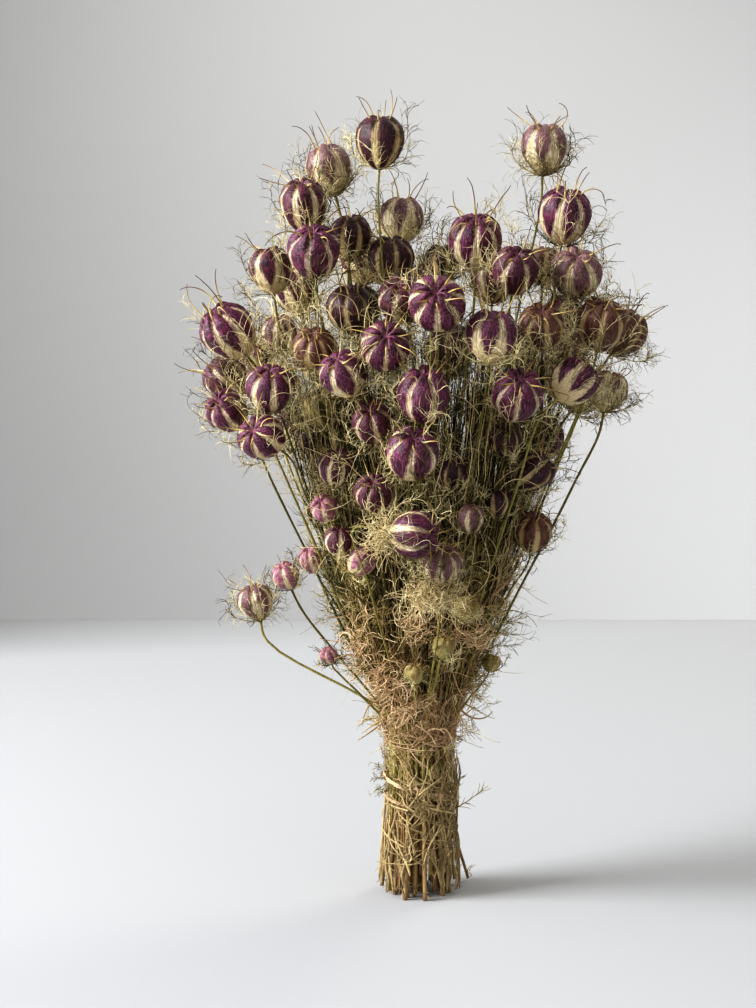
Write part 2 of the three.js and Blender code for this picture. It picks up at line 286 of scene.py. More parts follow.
class Piece:
    """Collects the points, faces and point values of one piece, and makes it into an object."""

    def __init__(self):
        self.points, self.faces, self.count = [], [], 0
        self.values = {}

    def add(self, points, faces, **values):
        """Adds points (n, 3), lists of faces that index them, and values (n,) or (n, 3) for the points."""
        self.points.append(points)
        for group in faces:
            self.faces.extend((group + self.count).tolist())
        for name, value in values.items():
            self.values.setdefault(name, []).append(value)
        self.count += len(points)

    def add_threads(self, paths, radii, sides=3, tint=0.5, flat=1.0):
        """Adds closed threads along paths (m, n, 3) with radii (m, n)."""
        m, n, _ = paths.shape
        ways = unit(np.gradient(paths, axis=1))
        normals = np.empty_like(paths)
        spare = np.where(np.abs(ways[:, :1, 2:]) > 0.8, [[[1.0, 0, 0]]], [[[0, 0, 1.0]]])
        normals[:, 0] = unit(np.cross(ways[:, 0], spare[:, 0]))
        for k in range(1, n):
            turned = normals[:, k - 1]
            turned = turned - ways[:, k] * (turned * ways[:, k]).sum(-1, keepdims=True)
            normals[:, k] = unit(turned)
        others = np.cross(ways, normals)
        spin = TURN * np.arange(sides)[:, None] / sides
        ring = flat * np.cos(spin) * normals[:, :, None] + np.sin(spin) * others[:, :, None]
        points = (paths[:, :, None] + radii[:, :, None, None] * ring).reshape(-1, 3)
        quads = tube_faces(n, sides)
        ends = np.stack([np.arange(sides)[::-1], (n - 1) * sides + np.arange(sides)])
        starts = (np.arange(m) * n * sides)[:, None, None]
        along = np.broadcast_to(np.linspace(0, 1, n)[None, :, None], (m, n, sides)).reshape(-1)
        self.add(
            points,
            [(starts + quads).reshape(-1, 4), (starts + ends).reshape(-1, sides)],
            along=along,
            tint=np.repeat(np.full(m, tint), n * sides),
        )

    def add_tapered(self, paths, root, tip, **look):
        """Adds threads that narrow evenly from one radius to another."""
        count, steps, _ = paths.shape
        self.add_threads(paths, np.tile(np.linspace(root, tip, steps), (count, 1)), **look)

    def make(self, name, material, slot, *nodes):
        """Makes the object, which rides on the bunch and stands for the CAD nodes named."""
        mesh = bpy.data.meshes.new(name)
        mesh.from_pydata((np.concatenate(self.points) * MM).tolist(), [], self.faces)
        for key, parts in self.values.items():
            value = np.concatenate(parts)
            kind, field = ("FLOAT_VECTOR", "vector") if value.ndim == 2 else ("FLOAT", "value")
            layer = mesh.attributes.new(key, kind, "POINT")
            layer.data.foreach_set(field, value.ravel().astype(np.float32))
        mesh.materials.append(material)
        mesh.shade_smooth()
        piece = bpy.data.objects.new(name, mesh)
        SCENE.collection.objects.link(piece)
        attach(piece, "root")
        if nodes:
            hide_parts(*nodes)


# --- threads ---

# Threads stay between these limits, and start to turn back a little before them.
REACH_LOW = np.array([-118.0, -102.0, 0.3])
REACH_HIGH = np.array([121.0, 103.0, 388.0])
REACH_SOFT = 5.0


def held_in(paths):
    """Turns threads back softly before they leave the bunch's own space."""
    low, high = REACH_LOW + REACH_SOFT, REACH_HIGH - REACH_SOFT
    past = np.maximum(paths - high, 0) - np.maximum(low - paths, 0)
    return np.clip(paths, low, high) + REACH_SOFT * np.tanh(past / REACH_SOFT)


def grown(rng, starts, headings, lengths, steps, curl=1.0, crinkle=1.0, lift=0.0):
    """Paths of threads that wander as they grow, (m, steps, 3)."""
    m = len(starts)
    paths = np.empty((m, steps, 3))
    paths[:, 0] = starts
    heading = unit(headings)
    bend = unit(rng.normal(size=(m, 3))) * (curl * rng.uniform(0.3, 1.0, (m, 1)))
    stride = (lengths / (steps - 1))[:, None]
    for k in range(1, steps):
        sway = np.cross(bend, heading) + crinkle * rng.normal(size=(m, 3)) + lift * UP
        heading = unit(heading + sway / (steps - 1))
        paths[:, k] = paths[:, k - 1] + heading * stride
    return held_in(paths)


def forked(rng, paths, low, high, count, angle):
    """Where side threads leave each path, at steps from low to high picked at random, and their headings."""
    line = np.arange(len(paths))[:, None]
    step = rng.integers(low, high + 1, (len(paths), count))
    starts = paths[line, step].reshape(-1, 3)
    ways = unit(paths[line, step + 1] - paths[line, step - 1]).reshape(-1, 3)
    off = unit(np.cross(ways, rng.normal(size=ways.shape)))
    turn = angle * rng.uniform(0.5, 1.5, (len(ways), 1))
    return starts, ways * np.cos(turn) + off * np.sin(turn)


# How many side threads a divided leaf's rib has, and how many forks each of those has.
SIDES_PER_RIB = 11
FORKS_PER_SIDE = 2


def add_feathered(piece, rng, starts, headings, lengths, thick, tint, **growth):
    """Adds finely divided leaves: a rib with side threads, and forks on those."""
    ribs = grown(rng, starts, headings, lengths, 9, **growth)
    piece.add_tapered(ribs, thick, thick * 0.5, tint=tint)
    starts, headings = forked(rng, ribs, 2, 7, SIDES_PER_RIB, 0.7)
    tint = np.repeat(tint, SIDES_PER_RIB) + rng.uniform(-0.25, 0.25, len(starts))
    reach = np.repeat(lengths, SIDES_PER_RIB) * rng.uniform(0.15, 0.5, len(starts))
    sides = grown(rng, starts, headings, reach, 6, **growth)
    piece.add_tapered(sides, thick * 0.7, thick * 0.35, tint=tint)
    starts, headings = forked(rng, sides, 1, 4, FORKS_PER_SIDE, 0.6)
    forks = grown(rng, starts, headings, np.repeat(reach, FORKS_PER_SIDE) * 0.5, 5, **growth)
    piece.add_tapered(forks, thick * 0.5, thick * 0.3, tint=np.repeat(tint, FORKS_PER_SIDE))


# --- pods ---

# Half of a pod's outline, from its base to its crown, for a pod 1 across: rise, radius and height. Rise is
# the share of the way along the outline.
OUTLINE = np.array([
    (0.0, 0.0, -0.5), (0.04, 0.085, -0.49), (0.1, 0.19, -0.447), (0.18, 0.3, -0.36),
    (0.27, 0.4, -0.235), (0.37, 0.47, -0.085), (0.47, 0.498, 0.07), (0.57, 0.486, 0.215),
    (0.66, 0.435, 0.325), (0.74, 0.35, 0.4), (0.81, 0.262, 0.442), (0.86, 0.195, 0.452),
    (0.91, 0.125, 0.436), (0.96, 0.055, 0.405), (1.00, 0.0, 0.388),
])
HORN_RISE = 0.8
# Half widths, as shares of half a lobe, of the crown's groove, the ridge and the seam that splits it.
GROOVE_WIDTH = 0.34
RIDGE_WIDTH = 0.24
SEAM_WIDTH = 0.06


def bell(value, width):
    return np.exp(-((value / width) ** 2))


def pod_surface(spin, rise, pod):
    """Points of a pod's skin, for a pod 1 across that faces up, and the share of the way across a lobe."""
    radius = np.interp(rise, OUTLINE[:, 0], OUTLINE[:, 1])
    height = np.interp(rise, OUTLINE[:, 0], OUTLINE[:, 2])
    lobes = pod["lobes"]
    place = spin * lobes / TURN
    seam = 2 * np.abs(place - np.round(place))
    crown = np.clip((rise - 0.52) / 0.34, 0, 1) ** 1.5 * np.clip((1.0 - rise) / 0.06, 0, 1)
    belly = np.sin(np.pi * np.clip((rise - 0.08) / 0.75, 0, 1)) ** 1.2
    groove = bell(seam, GROOVE_WIDTH)
    ridge = bell(seam, RIDGE_WIDTH) - 0.8 * bell(seam, SEAM_WIDTH)
    sway = pod["sway"][np.mod(np.floor(place + 0.5).astype(int), lobes)]
    swell = pod["swell"][np.mod(np.floor(place).astype(int), lobes)]
    across = 1 - 0.34 * crown * groove + 0.045 * belly * ridge * (1 + sway)
    across = across + belly * (0.05 + 0.12 * swell) * (1 - (1 - seam) ** 2) - 0.03 * belly
    height = height + crown * (0.085 * (1 - groove) * (1 + 2.5 * swell) - 0.035)
    height = height * pod["tall"]
    x = radius * across * np.cos(spin) * pod["squash"]
    y = radius * across * np.sin(spin) / pod["squash"]
    return np.stack([x, y, height], -1), seam


def turn_to(way, spin):
    """The turn that points +Z along a way, after a spin about +Z."""
    quaternion = Vector((0, 0, 1)).rotation_difference(Vector(way))
    c, s = math.cos(spin), math.sin(spin)
    return np.array(quaternion.to_matrix()) @ np.array([[c, -s, 0], [s, c, 0], [0, 0, 1]])


def grow_pod(rng, row):
    """A pod's own numbers: its lobes, its unevenness and how it stands."""
    small = row[3] < SMALL_POD
    lobes = int(rng.choice([5, 6] if small else [6, 6, 7, 7, 8]))
    return {
        "lobes": lobes,
        "sway": rng.uniform(-0.5, 0.5, lobes),
        "swell": rng.uniform(-0.12, 0.22, lobes),
        "tall": rng.uniform(0.96, 1.12),
        "squash": rng.uniform(0.96, 1.04),
        "centre": np.array(row[:3], float),
        "size": float(row[3]),
        "turn": turn_to(axis_of(row), rng.uniform(0, TURN)),
        "small": small,
        "tone": row[6],
    }


def placed(pod, local):
    return pod["centre"] + (local * pod["size"]) @ pod["turn"].T


def add_pod_skin(piece, pod, rng):
    rings, per_lobe = (30, 10) if pod["small"] else (46, 14)
    around = pod["lobes"] * per_lobe
    rise = np.linspace(0, 1, rings + 1)[1:-1]
    spin = TURN * np.arange(around) / around
    grid_rise, grid_spin = np.meshgrid(rise, spin, indexing="ij")
    skin, seam = pod_surface(grid_spin, grid_rise, pod)
    skin, seam, grid_rise = skin.reshape(-1, 3), seam.reshape(-1), grid_rise.reshape(-1)
    dents = np.sin(skin @ rng.normal(0, 9, (3, 3)) + rng.uniform(0, 6, 3)).sum(-1)
    skin = skin * (1 + 0.009 * dents[:, None])
    poles = np.array([[0, 0, OUTLINE[0, 2]], [0, 0, OUTLINE[-1, 2]]]) * pod["tall"]
    local = np.vstack([skin, poles])
    seam, grid_rise = np.append(seam, [0.5, 0.5]), np.append(grid_rise, [0, 1])
    base, top, last = len(local) - 2, len(local) - 1, (rings - 2) * around
    side = np.arange(around)
    after = (side + 1) % around
    low = np.stack([after, side, np.full(around, base)], -1)
    high = np.stack([last + side, last + after, np.full(around, top)], -1)
    tint = np.full(len(local), rng.uniform(0, 1))
    faces = [tube_faces(rings - 1, around), low, high]
    piece.add(placed(pod, local), faces, seam=seam, rise=grid_rise, tint=tint, own=local)


def add_horns(piece, pod, rng):
    """A thin horn stands at the top of each ridge, upright on one pod and spreading or looped on another."""
    lobes, size = pod["lobes"], pod["size"]
    spin = TURN * np.arange(lobes) / lobes
    root, _ = pod_surface(spin, np.full(lobes, HORN_RISE), pod)
    out = unit(on_ring(spin))
    lean = rng.uniform(0.1, 1.15) + rng.uniform(-0.3, 0.3, (lobes, 1))
    heading = unit(UP * np.cos(lean) + out * np.sin(lean)) @ pod["turn"].T
    length = size * rng.uniform(0.52, 0.95, lobes) * (0.6 if pod["small"] else 1)
    steps = 14
    paths = np.empty((lobes, steps, 3))
    paths[:, 0] = placed(pod, root * 0.97)
    side = unit(np.cross(heading, out @ pod["turn"].T))
    loop = 1.3 if rng.uniform() < 0.25 else 0.35
    curl = rng.normal(0.1, loop, (lobes, 1)) * side + 0.25 * rng.normal(size=(lobes, 3))
    for k in range(1, steps):
        turn = np.cross(curl, heading) * (0.2 + 1.8 * k / steps) + 0.14 * rng.normal(size=(lobes, 3))
        heading = unit(heading + turn * 2.4 / steps)
        paths[:, k] = paths[:, k - 1] + heading * (length / (steps - 1))[:, None]
    radii = size * 0.001 * np.interp(np.linspace(0, 1, steps), [0, 0.1, 0.35, 1], [36, 19, 12, 6])
    piece.add_threads(held_in(paths), np.tile(radii, (lobes, 1)), sides=5, tint=rng.random(lobes))


HAIRS_PER_BRACT = 16


def add_bracts(piece, pod, rng, fullness):
    """Thread-like bracts rise from a pod's base and close round it as a loose cage of fine hairs."""
    size = pod["size"]
    count = int(round(rng.integers(8, 12) * fullness))
    if count < 1:
        return
    start_spin = rng.uniform(0, TURN)
    spin = start_spin + TURN * (np.arange(count) + rng.uniform(-0.4, 0.4, count)) / count
    reach = rng.uniform(0.57, 0.8, count)
    top = rng.uniform(-0.25, 0.8, count)
    out = on_ring(spin)
    shares = np.linspace(0, 1, 12)[None, :, None]
    swing = np.sin(np.pi * 0.62 * shares)
    height = -0.56 + (top[:, None, None] + 0.56) * shares**1.3
    local = out[:, None] * reach[:, None, None] * swing + UP * height
    drift = np.cumsum(rng.normal(0, 0.022, local.shape), axis=1)
    ribs = held_in(placed(pod, local + drift * shares))
    tint = rng.random(count)
    piece.add_tapered(ribs, 0.23, 0.08, tint=tint)
    starts, ways = forked(rng, ribs, 1, 10, HAIRS_PER_BRACT, 0.7)
    ways = ways + 0.25 * pod["turn"][:, 2]
    lengths = rng.uniform(0.18, 0.62, len(starts)) * size
    threads = grown(rng, starts, ways, lengths, 10, curl=3.2, crinkle=0.8, lift=0.15)
    tint = np.repeat(tint, HAIRS_PER_BRACT) + rng.uniform(-0.45, 0.45, len(starts))
    tint = np.clip(tint, 0, 1)
    piece.add_tapered(threads, 0.15, 0.07, tint=tint)
    starts, ways = forked(rng, threads, 2, 7, 1, 0.7)
    tips = grown(rng, starts, ways, lengths * 0.6, 7, curl=2.6, crinkle=0.8, lift=0.1)
    piece.add_tapered(tips, 0.11, 0.06, tint=tint)


# --- stalks and leaves ---

# Half the width and half the depth of the fan of stems, at these heights.
FAN_LEVELS = [0, 40, 82, 120, 160, 200, 240, 280]
FAN_WIDTHS = [19.4, 16.4, 16.6, 30, 43, 56, 66, 72]
FAN_DEPTHS = [19.4, 16.4, 16.6, 28, 40, 50, 58, 62]
BUNDLE_RADIUS = 17
LEAF_THICK = 0.2


def fan_size(height):
    return np.interp(height, FAN_LEVELS, FAN_WIDTHS), np.interp(height, FAN_LEVELS, FAN_DEPTHS)


def add_stalk(piece, rng, route, low_radius, high_radius):
    path = smooth_path(route, 7)
    steps = len(path)
    shares = np.linspace(0, 1, steps)
    sway = np.stack([np.sin(shares * rng.uniform(18, 30) + rng.uniform(0, 6)) for _ in range(3)], -1)
    path = path + 0.22 * sway * np.sin(np.pi * shares)[:, None]
    foot_radius = low_radius * rng.uniform(0.8, 1.35)
    radii = np.interp(shares, [0, 0.25, 0.5, 1], [foot_radius, low_radius, high_radius, high_radius])
    radii = radii * rng.uniform(0.88, 1.08) * (1 + 0.05 * np.sin(shares * 60 + rng.uniform(0, 6)))
    radii[-3:] *= [1.1, 1.35, 1.6]
    piece.add_threads(path[None], radii[None], sides=9, tint=rng.random(1))
    return path


def add_stalk_leaves(piece, rng, path, low, high, every):
    """Finely divided leaves up a stalk, between two heights."""
    spots = path[(path[:, 2] > low) & (path[:, 2] < high)]
    wide, deep = fan_size(spots[:, 2])
    spots = spots[np.hypot(spots[:, 0] / wide, spots[:, 1] / deep) < 1.05]
    if len(spots) < 3:
        return
    length = np.linalg.norm(np.diff(spots, axis=0), axis=1).sum()
    count = max(1, int(length / every))
    where = rng.uniform(1, len(spots) - 2, count)
    whole, part = where.astype(int), (where % 1)[:, None]
    starts = spots[whole] * (1 - part) + spots[whole + 1] * part
    ways = unit(spots[whole + 1] - spots[whole])
    out = unit(0.3 * unit(starts * [1, 1, 0]) + unit(rng.normal(size=(count, 3))))
    headings = unit(ways + out * rng.uniform(0.1, 0.55, (count, 1)))
    lengths, tint = rng.uniform(14, 32, count), rng.random(count)
    add_feathered(piece, rng, starts, headings, lengths, LEAF_THICK, tint, crinkle=0.6, lift=0.3)


def on_fan(spin, height, share):
    """Points at a share of the fan's own width and depth."""
    wide, deep = fan_size(height)
    return on_ring(spin, height, share * wide, share * deep)


def add_core(piece, rng, count, shares, widths, spins=(0, TURN)):
    """Long fine leaf stalks that run up with the stems, between two shares of the fan's own width."""
    spin = rng.uniform(*spins, (count, 1))
    share = np.sqrt(rng.uniform(shares[0] ** 2, shares[1] ** 2, (count, 1)))
    low, high = rng.uniform(78, 150, (count, 1)), rng.uniform(170, 275, (count, 1))
    steps = 14
    place = on_fan(spin, low + (high - low) * np.linspace(0, 1, steps), share)
    wander = np.cumsum(rng.normal(0, 1.0, (count, steps, 2)), axis=1)
    place[:, :, :2] += wander - wander[:, :1]
    thick = rng.uniform(*widths, (count, 1)) * np.linspace(1, 0.4, steps)
    piece.add_threads(place, thick, sides=5, tint=rng.random(count))


def outside(rng, count, heights, shares, ups, fan, stray):
    """Where threads leave the outside of the bundle, and their headings.

    ups are the rises to pick from, fan is how far they lean out at some heights, and stray is how unruly.
    """
    height = rng.uniform(*heights, count)
    spin = rng.uniform(0, TURN, count)
    starts = on_fan(spin, height, rng.uniform(*shares, count))
    lean = on_ring(spin) * np.interp(height, *fan)[:, None]
    return starts, UP * rng.choice(ups, (count, 1)) + lean + rng.normal(0, stray, (count, 3))


def add_dry_leaves(piece, rng, count, low, high, reach):
    """Dead, crinkled thread leaves that cling to the outside of the bundle."""
    fan = ([0, 82, 120], [0, 0.1, 0.45])
    starts, headings = outside(rng, count, (low, high), (0.72, 0.98), [-0.7, 1.0, 1.0], fan, 0.4)
    lengths = rng.uniform(0.5, 1.0, count) * reach
    tint = rng.random(count)
    add_feathered(piece, rng, starts, headings, lengths, LEAF_THICK, tint, curl=2.0, crinkle=1.3, lift=0.1)


def add_straw(piece, rng, count, low, high, widths, lengths, curl, flat):
    """Broader dead leaf ribs and ribbons that run up with the fan of the stalks, and bend over."""
    fan = ([66, 82, 120], [0.0, 0.3, 0.45])
    starts, headings = outside(rng, count, (low, high), (0.82, 1.02), [-0.6, 1, 1, 1], fan, 0.3)
    steps = 16
    paths = grown(rng, starts, headings, rng.uniform(*lengths, count), steps, curl=curl, crinkle=0.7)
    taper = np.interp(np.linspace(0, 1, steps), [0, 0.2, 1], [1, 0.85, 0.3])
    thick = rng.uniform(*widths, (count, 1)) * taper
    piece.add_threads(paths, thick, sides=6, tint=rng.random(count), flat=flat)


def add_nest(piece, rng, centre, width, count, thick):
    """A loose nest of curly straw threads under a pod."""
    starts = np.array(centre) + rng.normal(0, 1, (count, 3)) * np.array(width) * 0.5
    headings = rng.normal(0, 1, (count, 3)) * [1, 0.7, 0.6]
    paths = grown(rng, starts, headings, rng.uniform(6, 15, count), 10, curl=3.5, crinkle=0.9)
    piece.add_tapered(paths, thick, thick * 0.6, sides=4, tint=rng.random(count))


def add_shreds(piece, rng, count, heights, spins, slant, lengths, widths, off):
    """Strips of dry leaf base that lie on the bundle at a slant, some standing off it.

    slant is in radians from upright.
    """
    steps = 14
    share = np.linspace(0, 1, steps)[None]
    lean = rng.normal(0, slant, (count, 1))
    length = rng.uniform(*lengths, (count, 1))
    height = rng.uniform(*heights, (count, 1)) + length * np.cos(lean) * share
    height = np.clip(height, 0.6, 96)
    turn = length * np.sin(lean) / BUNDLE_RADIUS * share + rng.normal(0, 0.18, (count, 1)) * share**2
    waves = share * rng.uniform(0.5, 1.6, (count, 1)) + rng.random((count, 1))
    spin = rng.uniform(*spins, (count, 1)) + turn + 0.07 * np.sin(TURN * waves)
    stand = rng.uniform(*off, (count, 1)) + rng.exponential(0.35, (count, 1)) * np.sin(math.pi * share)
    radius = np.interp(height, FAN_LEVELS, FAN_WIDTHS) + stand
    paths = on_ring(spin, height, radius, radius)
    thick = rng.uniform(*widths, (count, 1)) * np.interp(share, [0, 0.1, 0.8, 1], [0.4, 1, 0.8, 0.2])
    piece.add_threads(paths, thick, sides=6, tint=rng.random(count), flat=0.35)


FIBRES = 5


def add_frayed_end(piece, rng, foot):
    """Short fibres that fray from a stalk's cut end."""
    starts = foot + rng.normal(0, 0.5, (FIBRES, 3)) * [1, 1, 0] + UP * rng.uniform(0.6, 4.0, (FIBRES, 1))
    headings = rng.normal(0, 0.5, (FIBRES, 3)) + UP * rng.choice([-1.0, 1.2], (FIBRES, 1))
    fibres = grown(rng, starts, headings, rng.uniform(2, 7, FIBRES), 6, curl=1.5)
    piece.add_tapered(fibres, 0.24, 0.1, sides=4, tint=rng.random(FIBRES))


def add_wrap(piece, rng, height, tilt, turns, width, radius):
    """A flat strand of a few fibres wound round the bundle, higher on the left than on the right."""
    steps = int(64 * turns)
    angle = TURN * turns * np.linspace(0, 1, steps) + rng.uniform(-0.6, 0.6)
    wave = radius + 0.3 * np.sin(angle * 5) + 0.2 * np.sin(angle * 11)
    path = on_ring(angle, height - tilt * np.cos(angle), wave, wave)
    out = on_ring(angle)
    for fibre in np.linspace(-0.5, 0.5, 4):
        shift = fibre * width + 0.12 * rng.normal() + 0.22 * np.sin(angle * 3 + fibre * 9)
        lane = path + UP * shift[:, None] + out * (0.25 * np.cos(angle * 4 + fibre * 20))[:, None]
        thick = np.full((1, steps), 0.28 * width) * (1 + 0.12 * np.sin(angle * 17 + fibre * 5))
        piece.add_threads(lane[None], thick, sides=7, tint=rng.random(1), flat=0.6)


def add_twig(piece, rng, start):
    """A thin forked twig that stands off the stray stem."""
    heading, length = np.array([[0.85, -0.25, 0.5]]), np.array([24.0])
    stem = grown(rng, np.array([start]), heading, length, 12, curl=0.4, crinkle=0.5)
    piece.add_tapered(stem, 0.34, 0.14, sides=6)
    starts, ways = forked(rng, stem, 2, 10, 12, 0.6)
    hairs = grown(rng, starts, ways, rng.uniform(3, 8, len(starts)), 6, curl=0.8, crinkle=0.8)
    piece.add_tapered(hairs, 0.16, 0.08, sides=4)


# --- materials ---


class Shader:
    """A material whose nodes are added one by one."""

    def __init__(self, name, gloss=0.3):
        self.material = bpy.data.materials.new(name)
        self.material.use_nodes = True
        self.tree = self.material.node_tree
        self.skin = self.tree.nodes["Principled BSDF"]
        self.skin.inputs["Specular IOR Level"].default_value = gloss

    def put(self, value, socket):
        if isinstance(value, bpy.types.NodeSocket):
            self.tree.links.new(value, socket)
        else:
            socket.default_value = value

    def add(self, kind, inputs, output=0, **settings):
        node = self.tree.nodes.new("ShaderNode" + kind)
        for key, value in settings.items():
            setattr(node, key, value)
        for key, value in inputs.items():
            self.put(value, node.inputs[key])
        return node.outputs[output]

    def attribute(self, name, output="Fac"):
        return self.add("Attribute", {}, output, attribute_name=name)

    def place(self):
        return self.add("TexCoord", {}, "Object")

    def height(self):
        return self.add("SeparateXYZ", {0: self.place()}, "Z")

    def span(self, value, low, high):
        """A value's place between two others, from 0 to 1."""
        return self.add("MapRange", {"Value": value, "From Min": low, "From Max": high})

    def stretched(self, vector, scale):
        return self.add("Mapping", {"Vector": vector, "Scale": scale})

    def noise(self, vector, scale, detail=3.0):
        return self.add("TexNoise", {"Vector": vector, "Scale": scale, "Detail": detail})

    def maths(self, operation, a, b=0.0, c=0.0, clamp=False):
        return self.add("Math", {0: a, 1: b, 2: c}, operation=operation, use_clamp=clamp)

    def swing(self, value, amount):
        """A noise's swing about nothing, scaled."""
        return self.maths("MULTIPLY", self.maths("SUBTRACT", value, 0.5), amount)

    def ramp(self, value, *stops):
        """A colour or grey for a value: stops are (position, grey or colour)."""
        node = self.tree.nodes.new("ShaderNodeValToRGB")
        colours = node.color_ramp.elements
        for k, (position, colour) in enumerate(stops):
            stop = colours[k] if k < 2 else colours.new(position)
            stop.position = position
            stop.color = (*colour, 1) if isinstance(colour, tuple) else (colour, colour, colour, 1)
        self.put(value, node.inputs["Fac"])
        return node.outputs["Color"]

    def mix(self, share, a, b):
        node = self.tree.nodes.new("ShaderNodeMix")
        node.data_type = "RGBA"
        self.put(share, node.inputs["Factor"])
        for colour, socket in ((a, node.inputs[6]), (b, node.inputs[7])):
            self.put((*colour, 1) if isinstance(colour, tuple) else colour, socket)
        return node.outputs[2]

    def layered(self, colour, *layers):
        """Lays colours over a first one: layers are (value, two stops of a ramp on it, colour)."""
        for value, start, end, over in layers:
            colour = self.mix(self.ramp(value, start, end), colour, over)
        return colour

    def bump(self, value, strength, depth):
        bump = self.add("Bump", {"Height": value, "Strength": strength, "Distance": depth})
        self.put(bump, self.skin.inputs["Normal"])

    def finish(self, colour, roughness):
        self.put(colour, self.skin.inputs["Base Color"])
        self.put(roughness, self.skin.inputs["Roughness"])
        return self.material

    def rough(self, grain, least, most):
        return self.ramp(grain, (0.3, least), (0.7, most))


def shaded(colour, share):
    return tuple(share * c for c in colour)


# How much of half a lobe is pale at each rise: every pod's ridges, and what a pod with a pale base adds.
RIDGE_WIDTHS = ((0, 0.5), (0.1, 0.4), (0.24, 0.32), (0.42, 0.22), (0.58, 0.16), (0.74, 0.14), (0.86, 0.11))
BASE_WIDTHS = ((0.0, 1.0), (0.12, 0.85), (0.26, 0.3), (0.45, 0.05), (0.55, 0.0))
HEART = (0.5, 0.24, 0.3)


def pod_material(name, dark, band, light, ridge, base, cover):
    """A pod's skin: striated bands between pale double-edged ridges, on a pale base.

    dark, band and light are the band's colours, and cover is how much of a lobe it covers.
    """
    s = Shader(name, gloss=0.4)
    seam, rise, tint = s.attribute("seam"), s.attribute("rise"), s.attribute("tint")
    own = s.attribute("own", "Vector")
    moved = s.add("VectorMath", {0: own, 1: s.add("CombineXYZ", {0: tint, 1: tint})})
    cloud = s.noise(moved, 5.0, 4.0)
    streak = s.noise(s.stretched(moved, (38.0, 38.0, 3.0)), 1.0, 4.0)
    grain = s.noise(moved, 70.0, 3.0)
    own_base = s.ramp(s.maths("FRACT", s.maths("MULTIPLY", tint, 7.3)), (0.35, 0.0), (0.65, 1.0))
    width = s.ramp(rise, *RIDGE_WIDTHS)
    width = s.maths("ADD", width, s.maths("MULTIPLY", s.ramp(rise, *BASE_WIDTHS), own_base))
    width = s.maths("MULTIPLY", width, s.maths("MULTIPLY_ADD", tint, 0.7 / cover, 0.65 / cover))
    edge = width
    for noise, amount in ((cloud, 0.32), (streak, 0.4), (grain, 0.22)):
        edge = s.maths("ADD", edge, s.swing(noise, amount))
    inside = s.maths("DIVIDE", s.maths("SUBTRACT", seam, edge), 0.34)
    inside = s.maths("ADD", inside, 0.5, clamp=True)
    plum = s.mix(s.ramp(cloud, (0.36, 0.0), (0.62, 1.0)), dark, band)
    plum = s.mix(s.maths("MULTIPLY", s.ramp(streak, (0.48, 0.0), (0.76, 1.0)), 0.6), plum, light)
    plum = s.mix(s.maths("MULTIPLY", s.ramp(grain, (0.6, 0.0), (0.7, 1.0)), 0.6), plum, light)
    pale = s.layered(
        base, (streak, (0.35, 0.0), (0.7, 1.0), ridge), (rise, (0.05, 1.0), (0.35, 0.0), base)
    )
    fold, upper = s.ramp(seam, (0.015, 0.85), (0.05, 0.0)), s.ramp(rise, (0.3, 0.0), (0.55, 1.0))
    pale = s.mix(s.maths("MULTIPLY", fold, upper), pale, shaded(base, 0.28))
    colour = s.mix(inside, pale, plum)
    heart = s.ramp(rise, (0.93, 0.0), (0.985, 1.0))
    colour = s.mix(s.maths("MULTIPLY", heart, 0.8), colour, HEART)
    bumps = s.maths("ADD", s.maths("MULTIPLY", streak, 0.8), s.maths("MULTIPLY", grain, 0.4))
    s.bump(bumps, 0.55, 0.0006)
    return s.finish(colour, s.rough(grain, 0.36, 0.56))


def thread_material(name, low, high, some, flank=None):
    """Dry thread leaves: one colour low on the bunch, another higher up, and a third in some of them. A
    near-black higher colour is painted shade for the inside of the bunch.

    flank is the colour low down on the bunch's left and right sides.
    """
    s = Shader(name)
    uneven = s.swing(s.noise(s.place(), 40.0, 3.0), 1.4)
    rise = s.maths("ADD", s.span(s.height(), 0.085, 0.19), uneven, clamp=True)
    if flank:
        side = s.maths("ABSOLUTE", s.add("SeparateXYZ", {0: s.place()}, "X"))
        side = s.maths("ADD", s.span(side, 0.012, 0.034), uneven, clamp=True)
        low = s.mix(side, low, flank)
    grain = s.noise(s.stretched(s.place(), (1500.0, 1500.0, 400.0)), 1.0, 2.0)
    # Towards the higher colour up the bunch: painted shade where that colour is near black.
    colour = s.layered(
        s.mix(rise, low, high),
        (s.attribute("tint"), (0.56, 0.0), (0.8, 0.95), some),
        (grain, (0.35, 0.5), (0.65, 0.0), shaded(high, 0.3)),
    )
    s.bump(grain, 0.4, 0.0004)
    return s.finish(colour, s.rough(grain, 0.62, 0.85))


# A horn's colours from root to tip.
HORN_COLOURS = (
    (0.0, (0.84, 0.7, 0.4)), (0.3, (0.62, 0.47, 0.18)),
    (0.62, (0.26, 0.16, 0.06)), (0.95, (0.06, 0.035, 0.02)),
)


def horn_material():
    """Horns: straw-coloured at the root, brown to black at the tip."""
    s = Shader("horn")
    along, tint = s.attribute("along"), s.attribute("tint")
    grain = s.noise(s.place(), 900.0, 2.0)
    reach = s.maths("ADD", along, s.swing(tint, 0.5), clamp=True)
    colour = s.ramp(reach, *HORN_COLOURS)
    colour = s.layered(colour, (grain, (0.4, 0.3), (0.65, 0.0), (0.16, 0.1, 0.04)))
    s.bump(grain, 0.3, 0.0002)
    return s.finish(colour, s.rough(grain, 0.5, 0.75))


def bract_material(name, straw, olive, tip):
    """Bracts: straw or olive threads that darken at their tips."""
    s = Shader(name)
    grain = s.noise(s.place(), 700.0, 2.0)
    colour = s.layered(
        olive,
        (s.attribute("tint"), (0.32, 0.0), (0.6, 1.0), straw),
        (s.attribute("along"), (0.45, 0.0), (1.0, 0.6), tip),
        (grain, (0.35, 0.3), (0.6, 0.0), tip),
    )
    s.bump(grain, 0.3, 0.0002)
    return s.finish(colour, s.rough(grain, 0.6, 0.8))


